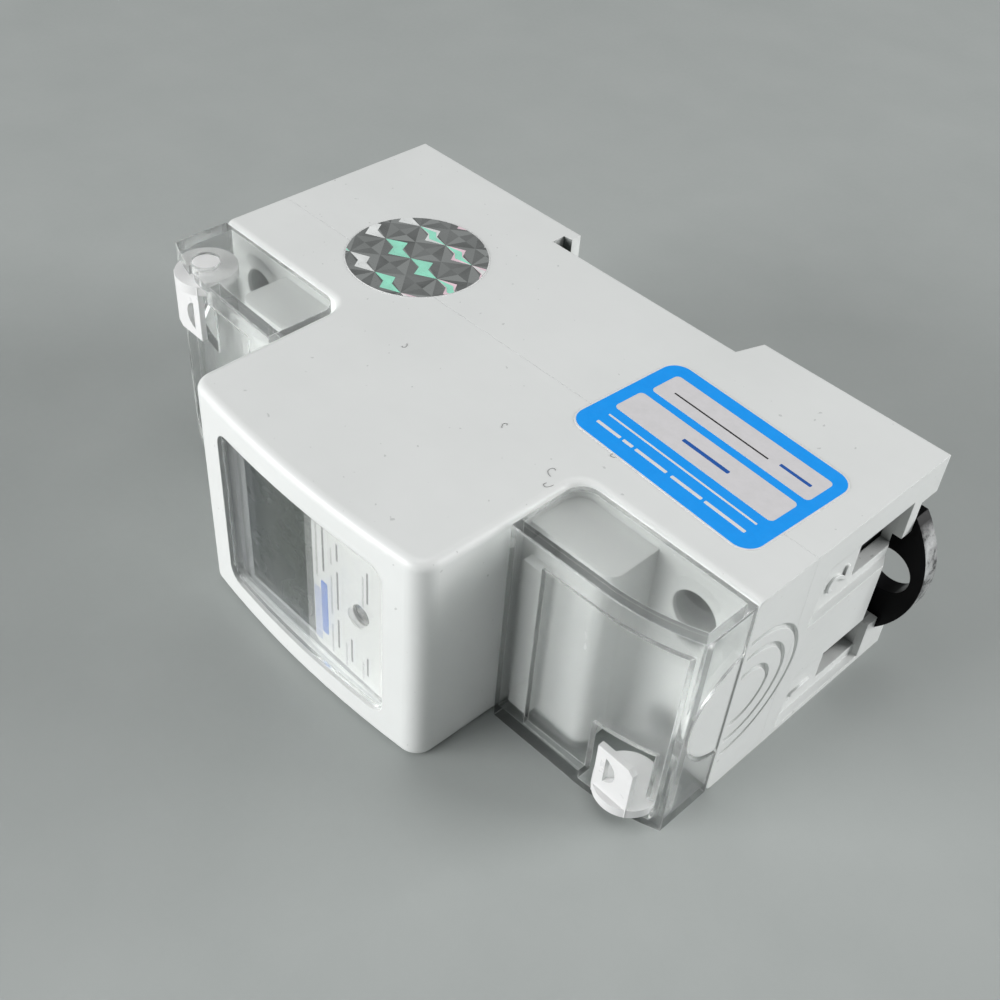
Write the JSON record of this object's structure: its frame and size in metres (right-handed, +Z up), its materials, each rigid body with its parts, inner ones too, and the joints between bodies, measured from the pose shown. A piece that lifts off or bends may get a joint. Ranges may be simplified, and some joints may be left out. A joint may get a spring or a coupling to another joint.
{
  "type": "din rail energy meter",
  "caption": "Two-module single-phase energy meter for a 35 mm rail: white case with bowed nose and display window, clear terminal covers with seal knobs, black sprung rail latch.",
  "frame": {"origin": "under the middle of the meter's bounding box, on the flat left side wall that it lies on in the picture", "axes": "+X along the length of the case towards the latch end, +Y from the bowed front to the rail at the back, +Z up across the 36 mm width"},
  "size_m": [0.105, 0.0662, 0.0361],
  "materials": {
    "case_plastic": "fine satin grain, pale cool white",
    "clear_pane": "clear acrylic, polished",
    "clear_cover": "clear polycarbonate, polished with frosted inner faces",
    "seal_plastic": "milky white, smooth",
    "holder_plastic": "light grey, dull",
    "lcd_glass": "dark glass, blank display",
    "plate_print": "white printed film",
    "lamp_lens": "dark lens, unlit",
    "circuit_board": "green lacquer",
    "black_plastic": "moulded, dull",
    "yellow_plastic": "moulded box",
    "can_metal": "brushed can",
    "tinned_copper": "tinned bar, dull bright",
    "shunt_alloy": "bare alloy",
    "silver_film": "faceted silver film with green and pink glints",
    "blue_paper": "gloss label with off-white fields",
    "latch_plastic": "black, worn edge",
    "cage_brass": "plated clamp",
    "screw_steel": "dull plated steel"
  },
  "bodies": {
    "case": {"front_housing": "case_plastic", "rear_housing": "case_plastic", "display_window": "clear_pane", "display_holder": "holder_plastic", "lcd_panel": "lcd_glass", "name_plate": "plate_print", "pulse_lamp": "lamp_lens", "display_board": "circuit_board", "main_board": "circuit_board", "board_header": "black_plastic", "meter_chip": "black_plastic", "supply_capacitor": "yellow_plastic", "smoothing_capacitor": "can_metal", "live_bar_lower": "tinned_copper", "live_bar_upper": "tinned_copper", "shunt_plate": "shunt_alloy", "neutral_bar": "tinned_copper", "round_sticker": "silver_film", "blue_label": "blue_paper"},
    "rail_latch": {"rail_latch": "latch_plastic"},
    "lower_cover": {"terminal_cover_lower": "clear_cover"},
    "lower_knob": {"seal_knob_lower": "seal_plastic"},
    "screw_live_lower": {"terminal_screw_live_lower": "screw_steel"},
    "cage_live_lower": {"clamp_cage_live_lower": "cage_brass"},
    "screw_neutral_lower": {"terminal_screw_neutral_lower": "screw_steel"},
    "cage_neutral_lower": {"clamp_cage_neutral_lower": "cage_brass"},
    "upper_cover": {"terminal_cover_upper": "clear_cover"},
    "upper_knob": {"seal_knob_upper": "seal_plastic"},
    "screw_live_upper": {"terminal_screw_live_upper": "screw_steel"},
    "cage_live_upper": {"clamp_cage_live_upper": "cage_brass"},
    "screw_neutral_upper": {"terminal_screw_neutral_upper": "screw_steel"},
    "cage_neutral_upper": {"clamp_cage_neutral_upper": "cage_brass"}
  },
  "joints": [
    {"name": "rail_latch_slide", "type": "slide", "parent": "case", "child": "rail_latch", "axis": [1, 0, 0], "range_m": [0, 0.003], "stiffness_N_per_m": 800, "springref_m": -0.003},
    {"name": "lower_cover_pull", "type": "slide", "parent": "case", "child": "lower_cover", "axis": [0, -1, 0], "range_m": [0, 0.014]},
    {"name": "lower_knob_turn", "type": "hinge", "parent": "lower_cover", "child": "lower_knob", "pos_m": [0.04185, -0.01457, 0], "axis": [0, 0, -1], "range_deg": [0, 90]},
    {"name": "screw_live_lower_turn", "type": "hinge", "parent": "case", "child": "screw_live_lower", "pos_m": [0.04065, -0.00007, 0.0272], "axis": [0, 1, 0], "range_deg": [0, 1800]},
    {"name": "cage_live_lower_lift", "type": "slide", "parent": "case", "child": "cage_live_lower", "axis": [0, -1, 0], "range_m": [0, 0.004]},
    {"name": "screw_neutral_lower_turn", "type": "hinge", "parent": "case", "child": "screw_neutral_lower", "pos_m": [0.04065, -0.00007, 0.0068], "axis": [0, 1, 0], "range_deg": [0, 1800]},
    {"name": "cage_neutral_lower_lift", "type": "slide", "parent": "case", "child": "cage_neutral_lower", "axis": [0, -1, 0], "range_m": [0, 0.004]},
    {"name": "upper_cover_pull", "type": "slide", "parent": "case", "child": "upper_cover", "axis": [0, -1, 0], "range_m": [0, 0.014]},
    {"name": "upper_knob_turn", "type": "hinge", "parent": "upper_cover", "child": "upper_knob", "pos_m": [-0.04595, -0.01457, 0], "axis": [0, 0, 1], "range_deg": [0, 90]},
    {"name": "screw_live_upper_turn", "type": "hinge", "parent": "case", "child": "screw_live_upper", "pos_m": [-0.04475, -0.00007, 0.0272], "axis": [0, 1, 0], "range_deg": [0, 1800]},
    {"name": "cage_live_upper_lift", "type": "slide", "parent": "case", "child": "cage_live_upper", "axis": [0, -1, 0], "range_m": [0, 0.004]},
    {"name": "screw_neutral_upper_turn", "type": "hinge", "parent": "case", "child": "screw_neutral_upper", "pos_m": [-0.04475, -0.00007, 0.0068], "axis": [0, 1, 0], "range_deg": [0, 1800]},
    {"name": "cage_neutral_upper_lift", "type": "slide", "parent": "case", "child": "cage_neutral_upper", "axis": [0, -1, 0], "range_m": [0, 0.004]}
  ],
  "couplings": [
    {"joint": "screw_live_lower_turn", "follows": "cage_live_lower_lift", "rad_per_m": 7854},
    {"joint": "screw_neutral_lower_turn", "follows": "cage_neutral_lower_lift", "rad_per_m": 7854},
    {"joint": "screw_live_upper_turn", "follows": "cage_live_upper_lift", "rad_per_m": 7854},
    {"joint": "screw_neutral_upper_turn", "follows": "cage_neutral_upper_lift", "rad_per_m": 7854}
  ]
}
